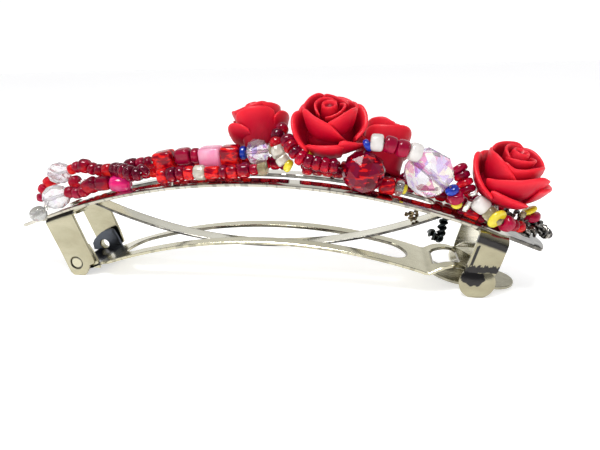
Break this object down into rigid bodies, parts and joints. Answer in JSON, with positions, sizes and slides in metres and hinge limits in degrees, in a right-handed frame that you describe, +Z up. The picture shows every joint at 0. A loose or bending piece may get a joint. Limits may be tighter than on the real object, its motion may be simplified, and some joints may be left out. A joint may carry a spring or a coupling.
{
  "type": "flower hair clip",
  "caption": "French barrette: arched slotted metal plate with hinged clasp, spring bow and snap latch, its top covered with carved roses, crystals and bead strands.",
  "frame": {"origin": "centre of the bounding box's underside, under the hinge ears and the latch lobes that the closed clip stands on", "axes": "+X along the clip from the hinge towards the latch, +Y from its front to its back, +Z up out of the decorated side"},
  "size_m": [0.0782, 0.0146, 0.0266],
  "materials": {
    "nickel": "nickel-plated spring steel, polished with fine scratches",
    "craft_wire": "thin dull silver craft wire",
    "rose_resin": "satin carved coral-red resin",
    "glass_clear": "clear glass, faint iris lustre",
    "glass_aurora": "faceted clear glass with aurora coating",
    "glass_red": "transparent red glass",
    "glass_dark_red": "transparent garnet glass",
    "glass_crimson": "opaque crimson glass, glossy",
    "glass_pink": "milky pink glass",
    "glass_blue": "opaque cobalt glass, glossy",
    "glass_white": "opaque white glass, pearly",
    "glass_yellow": "opaque yellow glass, glossy",
    "glass_topaz": "smoky topaz glass"
  },
  "bodies": {
    "clip_base": {"top_plate": "nickel", "hinge_bracket": "nickel", "tension_bow": "nickel", "latch_web": "nickel", "bracket_rivet": "nickel", "latch_rivet": "nickel", "rose_left": "rose_resin", "rose_centre": "rose_resin", "rose_behind": "rose_resin", "rose_right": "rose_resin", "crystal_end_upper": "glass_clear", "crystal_end_lower": "glass_clear", "tongue_bead_left": "glass_clear", "cube_red_left": "glass_red", "cube_crimson": "glass_crimson", "seed_crimson": "glass_crimson", "cube_pink": "glass_pink", "cube_red_right": "glass_red", "seed_blue": "glass_blue", "crystal_aurora_small": "glass_aurora", "bead_topaz": "glass_topaz", "bead_faceted_red": "glass_red", "crystal_aurora_large": "glass_aurora", "wrap_bead_right": "glass_clear", "strand_left_top": "glass_red", "strand_left_cross": "glass_dark_red", "strand_left_front": "glass_dark_red", "strand_left_end": "glass_red", "strand_left_middle": "glass_dark_red", "strand_left_rear": "glass_red", "strand_middle_front": "glass_red", "strand_middle_rear": "glass_dark_red", "strand_rose_left": "glass_red", "strand_rose_centre": "glass_dark_red", "strand_rose_behind": "glass_crimson", "strand_crystal_left": "glass_dark_red", "strand_crystal_right": "glass_crimson", "strand_right_reds": "glass_red", "strand_right_front": "glass_white", "strand_right_end": "glass_yellow", "strand_right_middle": "glass_red", "strand_right_rear": "glass_dark_red", "strand_right_bugle": "glass_dark_red", "bead_red_left": "glass_red", "wire_loop_upper": "craft_wire", "wire_loop_lower": "craft_wire", "wire_end_left": "craft_wire", "wire_loop_left": "craft_wire", "wire_knot": "craft_wire", "wire_tail": "craft_wire", "wire_wrap_right": "craft_wire"},
    "clasp": {"clasp_arm": "nickel"},
    "latch_front": {"latch_leg_front": "nickel"},
    "latch_rear": {"latch_leg_rear": "nickel"}
  },
  "joints": [
    {"name": "clasp_hinge", "type": "hinge", "parent": "clip_base", "child": "clasp", "pos_m": [-0.02899, -0.00086, 0.0021], "axis": [0, 1, 0], "range_deg": [0, 80]},
    {"name": "latch_front_flex", "type": "hinge", "parent": "clip_base", "child": "latch_front", "pos_m": [0.03106, -0.00446, 0.0082], "axis": [-1, 0, 0], "range_deg": [0, 10], "stiffness_Nm_per_rad": 0.02},
    {"name": "latch_rear_flex", "type": "hinge", "parent": "clip_base", "child": "latch_rear", "pos_m": [0.03106, 0.00274, 0.0082], "axis": [1, 0, 0], "range_deg": [0, 10], "stiffness_Nm_per_rad": 0.02}
  ]
}
